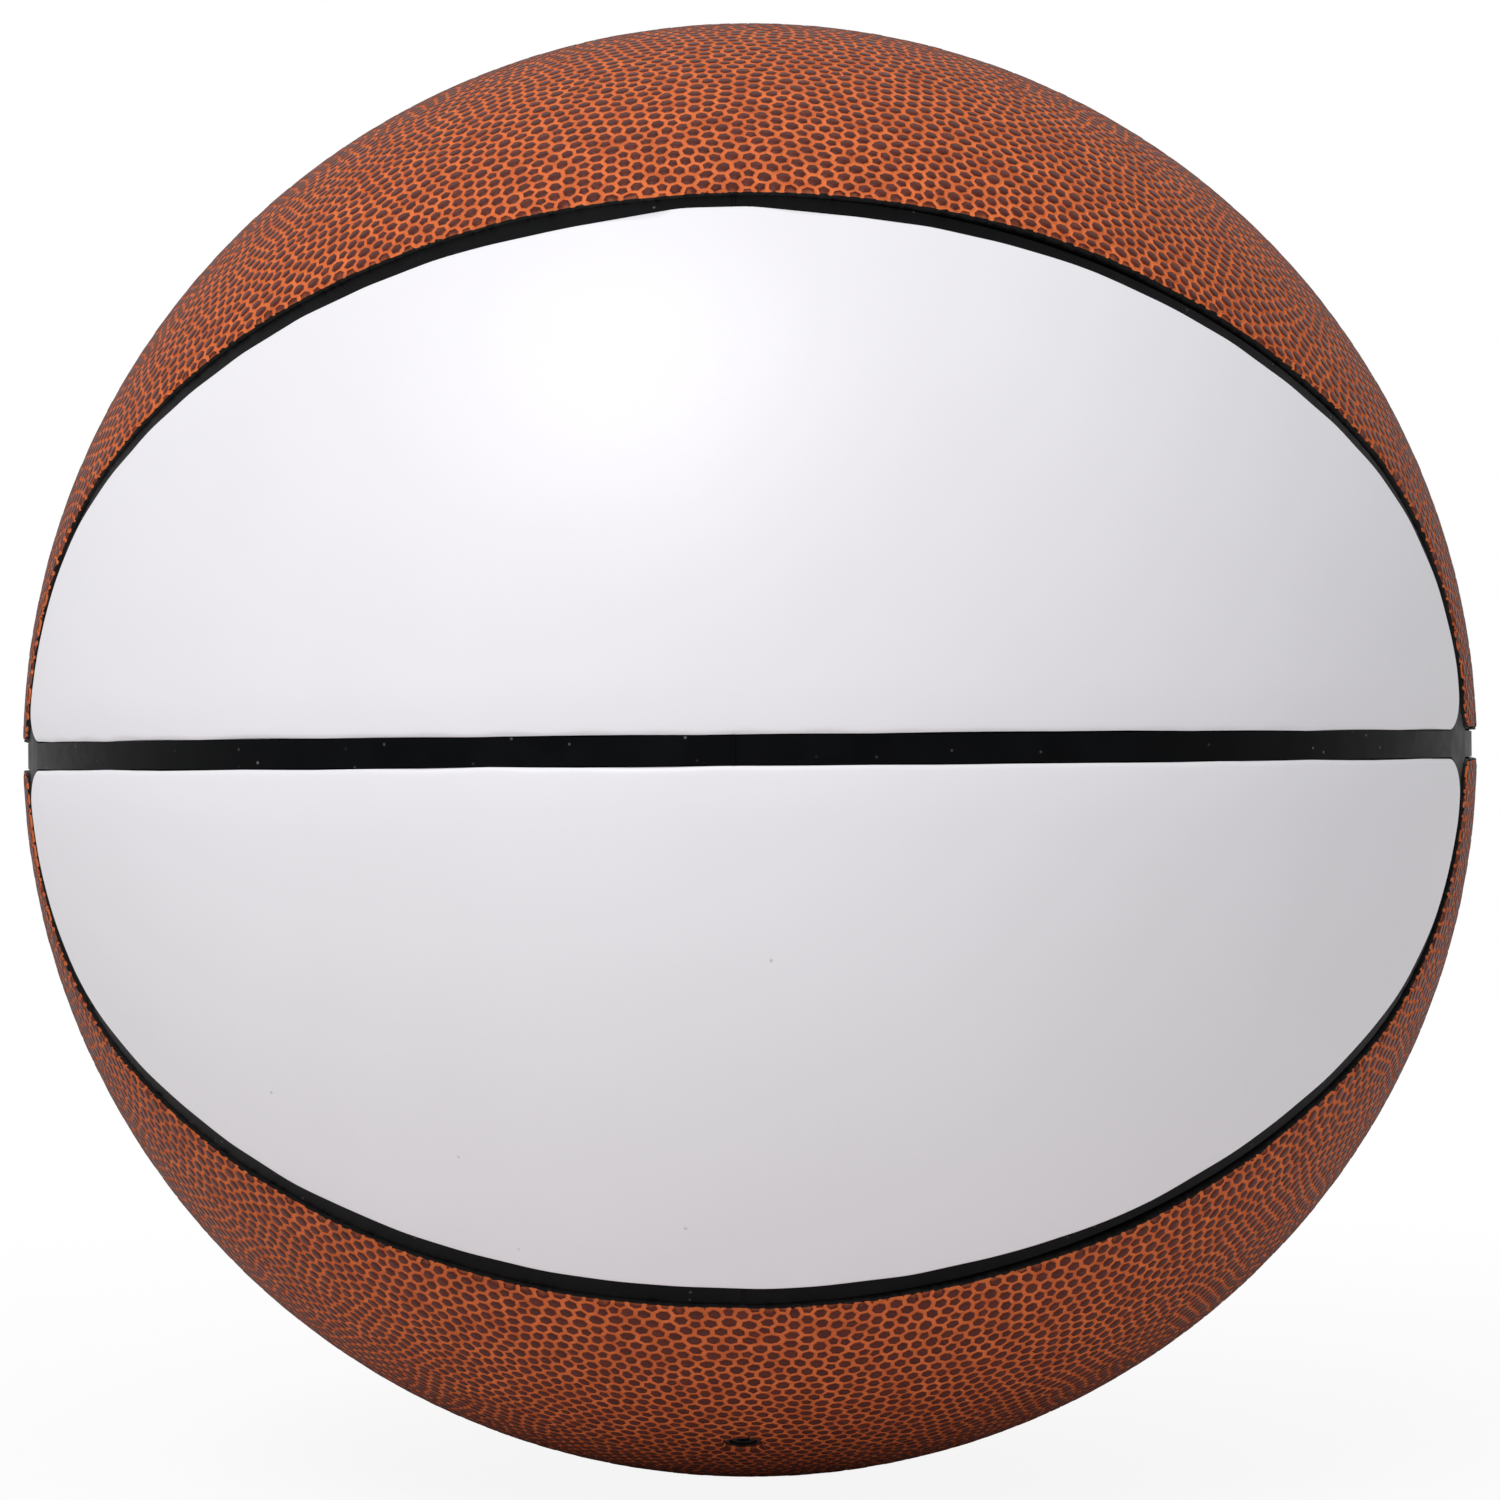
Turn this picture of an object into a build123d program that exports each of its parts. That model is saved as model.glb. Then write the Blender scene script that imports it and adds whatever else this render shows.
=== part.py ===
# Basketball of the full match size: eight cover panels on a ribbed rubber carcass,
# which is moulded over a thread winding and an air bladder with a needle valve.
# Millimetres, origin at the ball's centre, +Z up, the front oval of panels towards -Y.
import os
from math import atan2, cos, degrees, radians, sin, sqrt

from build123d import *

os.makedirs("parts", exist_ok=True)

# Ball and its layers, from the outside in
ball_diameter = 240.0
cover_thickness = 1.8
carcass_wall = 1.1
winding_wall = 0.6
bladder_wall = 1.0
bond_line = 0.12

# Seam channels: the panels stop at the channel's edges and a rib of the carcass is its floor
channel_width = 4.4
channel_depth = 0.8
rib_side_gap = 0.12
panel_corner_radius = 4.5
panel_edge_radius = 0.6
cut_overrun = 1.0

# Oval seam, as angles at the ball's centre in degrees: two long side arcs and two end arcs
oval_half_width_angle = 42.2
oval_half_length_angle = 72.5
oval_end_angle = 26.8

# Valve body and plug
valve_below_front_angle = 64.2
valve_neck_radius = 2.9
valve_stem_radius = 4.5
valve_sleeve_radius = 3.6
valve_sleeve_length = 8.0
valve_flange_radius = 11.0
valve_flange_thickness = 1.2
valve_recess = 0.7
valve_hole_gap = 0.15
valve_edge_radius = 0.3
plug_head_radius = 2.1
plug_head_thickness = 1.2
plug_shaft_radius = 1.7
plug_length = 12.5
plug_recess = 0.3
plug_gap = 0.06
plug_edge_radius = 0.3
needle_bore_radius = 1.0
needle_bore_depth = 10.0

# Radii of the layers' faces
ball_radius = ball_diameter / 2
cover_inner_radius = ball_radius - cover_thickness
carcass_outer_radius = cover_inner_radius - bond_line
carcass_inner_radius = carcass_outer_radius - carcass_wall
winding_outer_radius = carcass_inner_radius - bond_line
winding_inner_radius = winding_outer_radius - winding_wall
bladder_outer_radius = winding_inner_radius - bond_line
bladder_inner_radius = bladder_outer_radius - bladder_wall

# Channel section, as heights below the ball's surface
rib_width = channel_width - 2 * rib_side_gap
channel_cut_height = cover_thickness + bond_line + 2 * cut_overrun

# Valve heights, measured from the ball's centre along the valve's axis
valve_hole_radius = valve_neck_radius + valve_hole_gap
layer_hole_radius = valve_stem_radius + valve_hole_gap
valve_top = ball_radius - valve_recess
valve_stem_top = sqrt(cover_inner_radius**2 - layer_hole_radius**2) - bond_line
valve_sleeve_end = bladder_inner_radius - valve_sleeve_length
flange_outer_radius = bladder_inner_radius - bond_line
flange_inner_radius = flange_outer_radius - valve_flange_thickness
plug_top = valve_top - plug_recess
plug_shoulder = plug_top - plug_head_thickness
plug_end = plug_top - plug_length
needle_bore_end = plug_top - needle_bore_depth

ball_centre = Vector(0, 0, 0)
valve_direction = Vector(0, -1, 0).rotate(Axis.X, valve_below_front_angle)
valve_axis = Axis(ball_centre, valve_direction)
valve_mouth = Plane(valve_direction * ball_radius, x_dir=(1, 0, 0), z_dir=valve_direction)
valve_section = Plane(ball_centre, x_dir=(1, 0, 0), z_dir=Vector(1, 0, 0).cross(valve_direction))


def oval_arcs(centre, along, across):
    """The four arcs of one oval seam: each one's axis, starting direction and sweep in degrees."""
    half_width = radians(oval_half_width_angle)
    half_length = radians(oval_half_length_angle)
    end = radians(oval_end_angle)
    # The side arc's axis leans away so that side and end arcs run into each other smoothly
    lean = atan2(cos(half_width - end) - cos(half_length - end), sin(half_width - end))
    side = half_width + lean
    arcs = []
    for turn in (1, -1):
        side_axis = centre * cos(lean) - across * (turn * sin(lean))
        end_axis = centre * cos(half_length - end) + along * (turn * sin(half_length - end))
        far_end_axis = centre * cos(half_length - end) - along * (turn * sin(half_length - end))
        far_side_axis = centre * cos(lean) + across * (turn * sin(lean))
        side_start = junction(side_axis, side, end_axis, end)
        side_stop = junction(side_axis, side, far_end_axis, end)
        end_stop = junction(far_side_axis, side, end_axis, end)
        arcs.append((side_axis, side_start, turn_between(side_axis, side_start, side_stop)))
        arcs.append((end_axis, end_stop, turn_between(end_axis, end_stop, side_start)))
    return arcs


def junction(side_axis, side, end_axis, end):
    """Direction of the point where a side arc runs into an end arc."""
    return (end_axis * sin(side) - side_axis * sin(end)) * (1 / sin(side - end))


def turn_between(axis, start, stop):
    """Degrees from one direction to another, turning by the right hand about an axis."""
    start_arm = start - axis * start.dot(axis)
    stop_arm = stop - axis * stop.dot(axis)
    return degrees(atan2(axis.dot(start_arm.cross(stop_arm)), start_arm.dot(stop_arm))) % 360


def section_plane(axis, start):
    """Plane across a seam at its start, with its Y pointing straight out of the ball."""
    return Plane(start * ball_radius, x_dir=axis - start * axis.dot(start), z_dir=axis.cross(start))


def on_sphere(radius, sphere_radius):
    """Point of the valve's section at a radius from the valve's axis, on a sphere about the ball's centre."""
    return (radius, sqrt(sphere_radius**2 - radius**2))


left, front, up = Vector(-1, 0, 0), Vector(0, -1, 0), Vector(0, 0, 1)
right, rear, down = -left, -front, -up
full_turn = 360
seams = [(up, right, full_turn), (rear, right, full_turn)]
seams += oval_arcs(front, right, up)
seams += oval_arcs(rear, left, up)

# Cover, cut along the channels into its eight panels
with BuildPart() as cover:
    Sphere(ball_radius)
    Sphere(cover_inner_radius, mode=Mode.SUBTRACT)
    for seam_axis, seam_start, seam_turn in seams:
        with BuildSketch(section_plane(seam_axis, seam_start)):
            with Locations((0, cut_overrun)):
                Rectangle(channel_width, channel_cut_height, align=(Align.CENTER, Align.MAX))
        revolve(axis=Axis(ball_centre, seam_axis), revolution_arc=seam_turn, mode=Mode.SUBTRACT)

# Direction of each panel's middle: half-way up the oval, or half-way from its edge to the upright seam
oval_panel_angle = radians(oval_half_width_angle / 2)
strip_angle = radians((oval_half_width_angle + 90) / 2)
panel_places = {
    "front_upper_panel": front * cos(oval_panel_angle) + up * sin(oval_panel_angle),
    "front_lower_panel": front * cos(oval_panel_angle) + down * sin(oval_panel_angle),
    "rear_upper_panel": rear * cos(oval_panel_angle) + up * sin(oval_panel_angle),
    "rear_lower_panel": rear * cos(oval_panel_angle) + down * sin(oval_panel_angle),
    "upper_front_strip": front * cos(strip_angle) + up * sin(strip_angle),
    "lower_front_strip": front * cos(strip_angle) + down * sin(strip_angle),
    "upper_rear_strip": rear * cos(strip_angle) + up * sin(strip_angle),
    "lower_rear_strip": rear * cos(strip_angle) + down * sin(strip_angle),
}
for panel_name, panel_place in panel_places.items():
    with BuildPart() as panel:
        add(cover.solids().sort_by_distance(panel_place * ball_radius)[0])
        beside_level_seam = panel.edges().filter_by_position(Axis.Z, -channel_width, channel_width)
        fillet(beside_level_seam.filter_by(lambda edge: edge.length < channel_width), panel_corner_radius)
        fillet(panel.faces().sort_by(SortBy.AREA)[-1].outer_wire().edges(), panel_edge_radius)
        if panel_name == "lower_front_strip":
            with BuildSketch(valve_mouth):
                Circle(valve_hole_radius)
            extrude(amount=cut_overrun + cover_thickness, both=True, mode=Mode.SUBTRACT)
            hole_wall = panel.faces().filter_by(GeomType.CYLINDER).sort_by_distance(valve_mouth.origin)[0]
            fillet(hole_wall.edges().sort_by(valve_axis)[-1], valve_edge_radius)
    panel.part.label = panel_name
    export_step(panel.part, f"parts/{panel_name}.step")

# Pockets that the panels sit in, between the carcass's ribs
with BuildPart() as pockets:
    Sphere(ball_radius)
    Sphere(carcass_outer_radius, mode=Mode.SUBTRACT)
    for seam_axis, seam_start, seam_turn in seams:
        with BuildSketch(section_plane(seam_axis, seam_start)):
            with Locations((0, cut_overrun)):
                Rectangle(rib_width, channel_cut_height, align=(Align.CENTER, Align.MAX))
        revolve(axis=Axis(ball_centre, seam_axis), revolution_arc=seam_turn, mode=Mode.SUBTRACT)
    beside_level_rib = pockets.edges().filter_by_position(Axis.Z, -channel_width, channel_width)
    pocket_corners = beside_level_rib.filter_by(lambda edge: edge.length < channel_width)
    fillet(pocket_corners, panel_corner_radius + rib_side_gap)

# Rubber carcass with the ribs that show between the panels
with BuildPart() as carcass:
    Sphere(ball_radius - channel_depth)
    Sphere(carcass_inner_radius, mode=Mode.SUBTRACT)
    add(pockets.part, mode=Mode.SUBTRACT)
    with BuildSketch(valve_mouth):
        Circle(layer_hole_radius)
    extrude(amount=-(ball_radius - winding_outer_radius + cut_overrun), mode=Mode.SUBTRACT)
carcass.part.label = "carcass"
export_step(carcass.part, "parts/carcass.step")

# Nylon thread winding, as one layer of its outer and inner size
with BuildPart() as thread_winding:
    Sphere(winding_outer_radius)
    Sphere(winding_inner_radius, mode=Mode.SUBTRACT)
    with BuildSketch(valve_mouth):
        Circle(layer_hole_radius)
    extrude(amount=-(ball_radius - bladder_outer_radius + cut_overrun), mode=Mode.SUBTRACT)
thread_winding.part.label = "thread_winding"
export_step(thread_winding.part, "parts/thread_winding.step")

# Butyl bladder
with BuildPart() as bladder:
    Sphere(bladder_outer_radius)
    Sphere(bladder_inner_radius, mode=Mode.SUBTRACT)
    with BuildSketch(valve_mouth):
        Circle(layer_hole_radius)
    extrude(amount=-(ball_radius - flange_outer_radius + cut_overrun), mode=Mode.SUBTRACT)
bladder.part.label = "bladder"
export_step(bladder.part, "parts/bladder.step")

# Valve body: a flange bonded inside the bladder, a stem through the layers and a sleeve for the plug
plug_bore_radius = plug_shaft_radius + plug_gap
plug_seat_radius = plug_head_radius + plug_gap
plug_seat = plug_shoulder - plug_gap
flange_middle_radius = (valve_stem_radius + valve_flange_radius) / 2
with BuildPart() as valve_body:
    with BuildSketch(valve_section):
        with BuildLine():
            sleeve_side = Polyline(
                (plug_bore_radius, valve_sleeve_end),
                (valve_sleeve_radius, valve_sleeve_end),
                on_sphere(valve_sleeve_radius, flange_inner_radius),
            )
            flange_under = ThreePointArc(
                sleeve_side @ 1,
                on_sphere(flange_middle_radius, flange_inner_radius),
                on_sphere(valve_flange_radius, flange_inner_radius),
            )
            flange_edge = Line(flange_under @ 1, on_sphere(valve_flange_radius, flange_outer_radius))
            flange_over = ThreePointArc(
                flange_edge @ 1,
                on_sphere(flange_middle_radius, flange_outer_radius),
                on_sphere(valve_stem_radius, flange_outer_radius),
            )
            Polyline(
                flange_over @ 1,
                (valve_stem_radius, valve_stem_top),
                (valve_neck_radius, valve_stem_top),
                (valve_neck_radius, valve_top),
                (plug_seat_radius, valve_top),
                (plug_seat_radius, plug_seat),
                (plug_bore_radius, plug_seat),
                sleeve_side @ 0,
            )
        make_face()
    revolve(axis=valve_axis)
valve_body.part.label = "valve_body"
export_step(valve_body.part, "parts/valve_body.step")

# Valve plug: a rubber mushroom with a blind needle bore, which closes by itself below the bore
with BuildPart() as valve_plug:
    with BuildSketch(valve_section):
        with BuildLine():
            Polyline(
                (0, needle_bore_end),
                (needle_bore_radius, needle_bore_end),
                (needle_bore_radius, plug_top),
                (plug_head_radius, plug_top),
                (plug_head_radius, plug_shoulder),
                (plug_shaft_radius, plug_shoulder),
                (plug_shaft_radius, plug_end),
                (0, plug_end),
                close=True,
            )
        make_face()
    revolve(axis=valve_axis)
    round_edges = valve_plug.edges().filter_by(GeomType.CIRCLE)
    head_rim = round_edges.sort_by(valve_axis).group_by(valve_axis)[-1].sort_by(SortBy.RADIUS)[-1]
    shaft_tip = round_edges.group_by(valve_axis)[0]
    fillet([head_rim, *shaft_tip], plug_edge_radius)
valve_plug.part.label = "valve_plug"
export_step(valve_plug.part, "parts/valve_plug.step")
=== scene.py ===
import math
import random

import bpy
import numpy as np
from mathutils import Matrix, Vector
from mathutils.geometry import delaunay_2d_cdt


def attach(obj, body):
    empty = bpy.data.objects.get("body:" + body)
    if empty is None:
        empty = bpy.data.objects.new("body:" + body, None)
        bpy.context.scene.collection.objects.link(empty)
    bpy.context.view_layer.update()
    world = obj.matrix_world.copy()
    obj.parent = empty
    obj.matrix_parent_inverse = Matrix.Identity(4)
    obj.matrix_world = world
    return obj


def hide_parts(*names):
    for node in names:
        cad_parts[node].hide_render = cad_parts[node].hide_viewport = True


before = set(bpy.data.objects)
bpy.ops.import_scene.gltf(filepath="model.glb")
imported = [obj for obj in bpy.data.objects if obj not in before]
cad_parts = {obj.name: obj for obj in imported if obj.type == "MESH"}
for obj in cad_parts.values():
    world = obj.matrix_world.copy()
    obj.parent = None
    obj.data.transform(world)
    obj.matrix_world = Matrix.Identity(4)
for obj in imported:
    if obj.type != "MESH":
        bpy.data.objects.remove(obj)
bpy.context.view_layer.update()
print("frame loaded:", len(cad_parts), "nodes")


# What every piece measures itself from
def nodePoints(name):
    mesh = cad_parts[name].data
    points = np.empty(len(mesh.vertices) * 3)
    mesh.vertices.foreach_get("co", points)
    return points.reshape(-1, 3)


panelRadii = np.linalg.norm(nodePoints("front_upper_panel"), axis=1)
ballRadius = float(panelRadii.max())  # outside of the cover
innerRadius = float(panelRadii.min())  # glued face of the cover
ball = {
    "body": "ball",
    "outlineStep": 0.0011,  # spacing of the points round a panel
    "gluedWithin": 2e-5,  # how far a point may lie from the glued face and still be on it
    "waves": (9, 60, 3),  # waves of a hand-laid edge, in turns round the panel
    "sameWithin": 1e-9,  # points this near each other are one
}
tiny = 1e-12  # keeps a length from being zero


def unit(vectors):
    return vectors / np.linalg.norm(vectors, axis=-1, keepdims=True)


# Node trees
def newTree(name, inputs):
    tree = bpy.data.node_groups.new(name, "GeometryNodeTree")
    tree.interface.new_socket("Geometry", in_out="INPUT", socket_type="NodeSocketGeometry")
    for label, socketType in inputs:
        tree.interface.new_socket(label, in_out="INPUT", socket_type="NodeSocket" + socketType)
    tree.interface.new_socket("Geometry", in_out="OUTPUT", socket_type="NodeSocketGeometry")
    return tree, tree.nodes.new("NodeGroupInput").outputs


def addNode(tree, kind, inputs=(), **settings):
    node = tree.nodes.new(kind)
    for key, value in settings.items():
        setattr(node, key, value)
    for key, value in dict(inputs).items():
        if isinstance(value, bpy.types.NodeSocket):
            tree.links.new(value, node.inputs[key])
        else:
            node.inputs[key].default_value = value
    return node


def mathNode(tree, operation, *values, clamp=False):
    return addNode(tree, "ShaderNodeMath", enumerate(values), operation=operation, use_clamp=clamp).outputs[0]


def vectorNode(tree, operation, inputs):
    return addNode(tree, "ShaderNodeVectorMath", inputs, operation=operation).outputs[0]


def namedField(tree, label, kind):
    node = addNode(tree, "GeometryNodeInputNamedAttribute", {"Name": label}, data_type=kind)
    return node.outputs["Attribute"]


def storeField(tree, geometry, label, value, kind, domain, chosen=True):
    inputs = {"Geometry": geometry, "Selection": chosen, "Name": label, "Value": value}
    return addNode(tree, "GeometryNodeStoreNamedAttribute", inputs, data_type=kind, domain=domain).outputs[0]


def movePoints(tree, geometry, **inputs):
    return addNode(tree, "GeometryNodeSetPosition", {"Geometry": geometry, **inputs}).outputs[0]


def endTree(tree, geometry, material):
    real = addNode(tree, "GeometryNodeRealizeInstances", {"Geometry": geometry})
    finish = addNode(tree, "GeometryNodeSetMaterial", {"Geometry": real.outputs[0], "Material": material})
    addNode(tree, "NodeGroupOutput", {"Geometry": finish.outputs[0]})


def runTree(obj, tree, values):
    modifier = obj.modifiers.new(tree.name, "NODES")
    modifier.node_group = tree
    for item in tree.interface.items_tree:
        if item.in_out == "INPUT" and item.name in values:
            modifier[item.identifier] = values[item.name]
    depsgraph = bpy.context.evaluated_depsgraph_get()
    mesh = bpy.data.meshes.new_from_object(obj.evaluated_get(depsgraph), depsgraph=depsgraph)
    obj.modifiers.remove(modifier)
    return mesh


def newObject(name, data):
    obj = bpy.data.objects.new(name, data)
    bpy.context.scene.collection.objects.link(obj)
    return obj


def dropObject(obj):
    mesh = obj.data
    bpy.data.objects.remove(obj)
    bpy.data.meshes.remove(mesh)


def meshFrom(name, points, faces):
    mesh = bpy.data.meshes.new(name)
    mesh.from_pydata(np.asarray(points).tolist(), [], [list(face) for face in faces])
    return mesh


# Materials
def newMaterial(name, **sockets):
    material = bpy.data.materials.new(name)
    material.use_nodes = True
    tree = material.node_tree
    shader = tree.nodes["Principled BSDF"]
    for label, value in sockets.items():
        shader.inputs[label.replace("_", " ")].default_value = value
    return material, tree, shader


def objectCoords(tree):
    return addNode(tree, "ShaderNodeTexCoord").outputs["Object"]


def noiseField(tree, scale, detail=3.0):
    inputs = {"Vector": objectCoords(tree), "Scale": scale, "Detail": detail, "Roughness": 0.55}
    return addNode(tree, "ShaderNodeTexNoise", inputs).outputs["Fac"]


def speckField(tree, scale):
    inputs = {"Vector": objectCoords(tree), "Scale": scale}
    return addNode(tree, "ShaderNodeTexVoronoi", inputs).outputs["Distance"]


def ramp(tree, value, low, high, toLow=0.0, toHigh=1.0):
    inputs = {"Value": value, "From Min": low, "From Max": high, "To Min": toLow, "To Max": toHigh}
    return addNode(tree, "ShaderNodeMapRange", inputs).outputs["Result"]


def mixColours(tree, factor, first, second):
    node = addNode(tree, "ShaderNodeMix", data_type="RGBA")
    for index, value in ((0, factor), (6, first), (7, second)):  # the node's colour sockets
        if isinstance(value, bpy.types.NodeSocket):
            tree.links.new(value, node.inputs[index])
        else:
            node.inputs[index].default_value = value if index == 0 else (*value, 1.0)
    return node.outputs[2]


def attribute(tree, name):
    return addNode(tree, "ShaderNodeAttribute", attribute_name=name).outputs["Fac"]


def bump(tree, height, distance, below=None):
    inputs = {"Height": height, "Distance": distance, "Strength": 1.0}
    if below:
        inputs["Normal"] = below
    return addNode(tree, "ShaderNodeBump", inputs).outputs["Normal"]


cutEdgeColour = (0.009, 0.008, 0.008)  # sides and backs of the panels, black with cement


def withCutEdge(tree, colour):
    # part is 0 outside, 1 on the cut edge and 2 on the glued side
    return mixColours(tree, ramp(tree, attribute(tree, "part"), 0.4, 0.6), colour, cutEdgeColour)


pebbledFinish = {
    "crownColour": (0.080, 0.0150, 0.0090),  # dark wiped tops
    "crownWarm": (0.145, 0.029, 0.0165),
    "valleyColour": (0.71, 0.170, 0.048),  # bright orange ground
    "valleyShade": (0.51, 0.104, 0.027),
    "groundScale": 260.0,
    "groundRamp": (0.35, 0.7),
    "mottleScale": 900.0,
    "mottleShare": 0.3,  # how far the mottle frays the edge of the dark tops
    "paintRamp": (0.66, 1.06),
    "specular": 0.125,
    "roughness": (0.62, 0.46),  # in the valleys, on the tops
    "grainScale": 2600.0,
    "grainHeight": 0.00002,
}


def makePebbledCover():
    look = pebbledFinish
    material, tree, shader = newMaterial("pebbledCover", Specular_IOR_Level=look["specular"])
    crown = attribute(tree, "crown")
    tone = attribute(tree, "tone")
    mottle = noiseField(tree, look["mottleScale"], 2.0)
    tops = mixColours(tree, mathNode(tree, "MULTIPLY", tone, mottle), look["crownColour"], look["crownWarm"])
    shade = ramp(tree, noiseField(tree, look["groundScale"]), *look["groundRamp"])
    ground = mixColours(tree, shade, look["valleyColour"], look["valleyShade"])
    frayed = mathNode(tree, "ADD", crown, mathNode(tree, "MULTIPLY", mottle, look["mottleShare"]))
    painted = ramp(tree, frayed, *look["paintRamp"])
    tree.links.new(withCutEdge(tree, mixColours(tree, painted, ground, tops)), shader.inputs["Base Color"])
    tree.links.new(ramp(tree, painted, 0.0, 1.0, *look["roughness"]), shader.inputs["Roughness"])
    grain = noiseField(tree, look["grainScale"], 2.0)
    tree.links.new(bump(tree, grain, look["grainHeight"]), shader.inputs["Normal"])
    return material


smoothFinish = {
    "colour": (0.80, 0.785, 0.815),
    "shade": (0.775, 0.758, 0.785),
    "cloudScale": 22.0,
    "cloudRamp": (0.3, 0.8),
    "speck": (0.32, 0.25, 0.24),
    "speckScale": 55.0,
    "speckSize": (0.008, 0.020),
    "speckStrength": 0.45,
    "roughness": (0.42, 0.5),
    "softScale": 140.0,
    "softHeight": 0.000012,
    "grainScale": 1500.0,
    "grainRamp": (0.3, 0.7),
    "grainHeight": 0.000012,
}


def makeSmoothCover():
    look = smoothFinish
    material, tree, shader = newMaterial("smoothCover")
    cloud = ramp(tree, noiseField(tree, look["cloudScale"]), *look["cloudRamp"])
    base = mixColours(tree, cloud, look["colour"], look["shade"])
    dots = speckField(tree, look["speckScale"])
    specks = ramp(tree, dots, *look["speckSize"], look["speckStrength"], 0.0)
    marked = mixColours(tree, specks, base, look["speck"])
    tree.links.new(withCutEdge(tree, marked), shader.inputs["Base Color"])
    grain = noiseField(tree, look["grainScale"])
    tree.links.new(ramp(tree, grain, *look["grainRamp"], *look["roughness"]), shader.inputs["Roughness"])
    soft = bump(tree, noiseField(tree, look["softScale"]), look["softHeight"])
    tree.links.new(bump(tree, grain, look["grainHeight"], below=soft), shader.inputs["Normal"])
    return material


rubberFinish = {
    "black": (0.0011, 0.0014, 0.0019),
    "bloom": (0.0027, 0.0031, 0.0039),
    "bloomScale": 120.0,
    "bloomRamp": (0.4, 0.75),
    "dust": (0.20, 0.19, 0.19),
    "dustScale": 420.0,
    "dustSize": (0.05, 0.12),
    "dustStrength": 0.8,
    "dustPatchScale": 90.0,
    "dustPatchRamp": (0.47, 0.66),
    "specular": 0.07,
    "roughness": (0.44, 0.52),
    "roughnessScale": 300.0,
    "roughnessRamp": (0.3, 0.7),
    "grainScale": 900.0,
    "grainHeight": 0.000012,
}


def makeChannelRubber():
    look = rubberFinish
    material, tree, shader = newMaterial("channelRubber", Specular_IOR_Level=look["specular"])
    bloom = ramp(tree, noiseField(tree, look["bloomScale"]), *look["bloomRamp"])
    base = mixColours(tree, bloom, look["black"], look["bloom"])
    dots = ramp(tree, speckField(tree, look["dustScale"]), *look["dustSize"], look["dustStrength"], 0.0)
    patches = ramp(tree, noiseField(tree, look["dustPatchScale"]), *look["dustPatchRamp"])
    dust = mathNode(tree, "MULTIPLY", dots, patches)
    tree.links.new(mixColours(tree, dust, base, look["dust"]), shader.inputs["Base Color"])
    worn = noiseField(tree, look["roughnessScale"])
    tree.links.new(ramp(tree, worn, *look["roughnessRamp"], *look["roughness"]), shader.inputs["Roughness"])
    grain = noiseField(tree, look["grainScale"])
    tree.links.new(bump(tree, grain, look["grainHeight"]), shader.inputs["Normal"])
    return material


threadFinish = {
    "yarn": (0.60, 0.56, 0.46),  # nylon
    "latex": (0.20, 0.17, 0.12),  # between the turns
    "turns": ((0.4, 0.2, 0.0), (1.5, 0.9, 0.6), (0.3, 2.1, 1.2)),  # three ways the yarn is wound
    "scale": 420.0,
    "waver": 0.6,
    "under": 0.85,  # height of the later turns beside the first
    "roughness": 0.75,
    "height": 0.00025,
}


def makeWindingThread():
    look = threadFinish
    material, tree, shader = newMaterial("windingThread", Roughness=look["roughness"])
    turns = None
    for turn in look["turns"]:
        mapped = addNode(tree, "ShaderNodeMapping", {"Vector": objectCoords(tree), "Rotation": turn})
        inputs = {"Vector": mapped.outputs[0], "Scale": look["scale"], "Distortion": look["waver"]}
        wave = addNode(tree, "ShaderNodeTexWave", inputs).outputs["Fac"]
        if turns is None:
            turns = wave
        else:
            turns = mathNode(tree, "MAXIMUM", turns, mathNode(tree, "MULTIPLY", wave, look["under"]))
    tree.links.new(mixColours(tree, turns, look["latex"], look["yarn"]), shader.inputs["Base Color"])
    tree.links.new(bump(tree, turns, look["height"]), shader.inputs["Normal"])
    return material


bladderFinish = {
    "colour": (0.014, 0.014, 0.015),
    "worn": (0.085, 0.083, 0.080),  # talc
    "scale": 60.0,
    "roughness": (0.45, 0.7),
}
valveFinish = {
    "colour": (0.0045, 0.0045, 0.0050),
    "worn": (0.014, 0.014, 0.014),
    "scale": 500.0,
    "roughness": (0.35, 0.55),
}
plugFinish = {
    "colour": (0.0065, 0.0065, 0.0070),
    "worn": (0.020, 0.020, 0.020),
    "scale": 700.0,
    "roughness": (0.4, 0.6),
}
moulded = {  # what the three have in common
    "specular": 0.3,
    "wornRamp": (0.45, 0.8),
    "grainFiner": 6,
    "grainHeight": 0.00002,
}


def makeRubber(name, look):
    material, tree, shader = newMaterial(name, Specular_IOR_Level=moulded["specular"])
    worn = ramp(tree, noiseField(tree, look["scale"], 4.0), *moulded["wornRamp"])
    tree.links.new(mixColours(tree, worn, look["colour"], look["worn"]), shader.inputs["Base Color"])
    tree.links.new(ramp(tree, worn, 0.0, 1.0, *look["roughness"]), shader.inputs["Roughness"])
    grain = noiseField(tree, look["scale"] * moulded["grainFiner"])
    tree.links.new(bump(tree, grain, moulded["grainHeight"]), shader.inputs["Normal"])
    return material


pebbledCover = makePebbledCover()
smoothCover = makeSmoothCover()
channelRubber = makeChannelRubber()
windingThread = makeWindingThread()
bladderRubber = makeRubber("bladderRubber", bladderFinish)
valveRubber = makeRubber("valveRubber", valveFinish)
plugRubber = makeRubber("plugRubber", plugFinish)
print("materials made")


# Outlines of the cover panels, from the square edge of each panel's glued face
def openEdges(faces):
    # edges with a face on one side only
    edges = {(face[k - 1], face[k]) for face in faces for k in range(len(face))}
    return sorted((a, b) for a, b in edges if (b, a) not in edges)


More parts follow.
